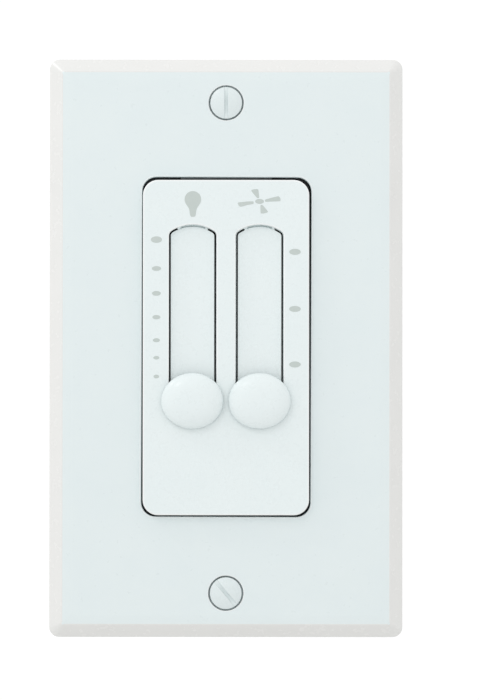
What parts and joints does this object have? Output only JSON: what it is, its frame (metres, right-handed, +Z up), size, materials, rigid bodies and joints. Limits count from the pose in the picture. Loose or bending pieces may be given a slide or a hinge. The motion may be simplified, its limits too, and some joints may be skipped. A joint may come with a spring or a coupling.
{
  "type": "dimmer slide switch",
  "caption": "Flush wall control with a bevelled plate and two vertical slide knobs, one dimming a light and one setting a fan's speed, on a metal yoke with a back housing.",
  "frame": {"origin": "centre of the wall opening, in the plane of the wall, on the line between the plate screws", "axes": "+X right as seen from the front, +Z up along the plate's length, +Y into the wall"},
  "size_m": [0.0698, 0.0428, 0.1142],
  "materials": {
    "white_moulding": "satin, cool white",
    "white_screw": "white enamel, slotted oval head",
    "yoke_metal": "black anodised, brushed",
    "plated_steel": "zinc plated",
    "spring_steel": "rolled",
    "green_screw": "green plated",
    "brass_contact": "stamped",
    "black_moulding": "fine texture",
    "grey_moulding": "matt",
    "blue_moulding": "matt",
    "white_rotor": "matt",
    "board_resin": "satin solder mask",
    "phenolic_board": "matt",
    "carbon_track": "matt",
    "red_fibre": "pressed fibre",
    "black_rubber": "matt",
    "ferrite": "matt",
    "copper_wire": "enamelled copper",
    "yellow_case": "satin",
    "red_case": "satin",
    "amber_glass": "glossy",
    "tan_resin": "lacquered",
    "mica_sheet": "pearly",
    "grey_print": "matt pad-printed ink"
  },
  "bodies": {
    "control_body": {"wall_plate": "white_moulding", "front_bezel": "white_moulding", "wall_plate_screw_upper": "white_screw", "wall_plate_screw_lower": "white_screw", "yoke": "yoke_metal", "triac_rivet": "yoke_metal", "device_screw_upper": "plated_steel", "device_screw_lower": "plated_steel", "housing_screw_1": "plated_steel", "housing_screw_2": "plated_steel", "housing_screw_3": "plated_steel", "housing_screw_4": "plated_steel", "light_pot_frame": "plated_steel", "fan_switch_frame": "plated_steel", "triac": "plated_steel", "ground_screw": "green_screw", "light_pot_collector": "brass_contact", "fan_common_rail": "brass_contact", "fan_low_contact": "brass_contact", "fan_medium_contact": "brass_contact", "fan_high_contact": "brass_contact", "back_housing": "black_moulding", "trimmer_body": "blue_moulding", "circuit_board": "board_resin", "light_pot_board": "phenolic_board", "fan_switch_board": "phenolic_board", "light_pot_track": "carbon_track", "screw_retainer_upper": "red_fibre", "screw_retainer_lower": "red_fibre", "lead_grommet": "black_rubber", "choke_core": "ferrite", "choke_winding": "copper_wire", "dimmer_capacitor": "yellow_case", "fan_capacitor_low": "yellow_case", "fan_capacitor_medium": "yellow_case", "timing_capacitor": "red_case", "diac": "amber_glass", "timing_resistor": "tan_resin", "fan_bleed_resistor_low": "tan_resin", "fan_bleed_resistor_medium": "tan_resin", "triac_insulator": "mica_sheet"},
    "light_slider": {"light_knob": "white_moulding", "light_saddle": "spring_steel", "light_pot_slider": "grey_moulding", "light_pot_wiper": "brass_contact"},
    "fan_slider": {"fan_knob": "white_moulding", "fan_saddle": "spring_steel", "fan_switch_slider": "grey_moulding", "fan_bridge_contact": "brass_contact", "fan_detent_leaf": "spring_steel"},
    "trim_rotor": {"trimmer_rotor": "white_rotor"}
  },
  "joints": [
    {"name": "light_slide", "type": "slide", "parent": "control_body", "child": "light_slider", "axis": [0, 0, 1], "range_m": [0, 0.0314]},
    {"name": "fan_slide", "type": "slide", "parent": "control_body", "child": "fan_slider", "axis": [0, 0, 1], "range_m": [0, 0.0294], "deforming": ["fan_detent_leaf"]},
    {"name": "trimmer_turn", "type": "hinge", "parent": "control_body", "child": "trim_rotor", "pos_m": [0.0075, 0.0038, -0.024], "axis": [0, -1, 0], "range_deg": [-115, 115]}
  ]
}
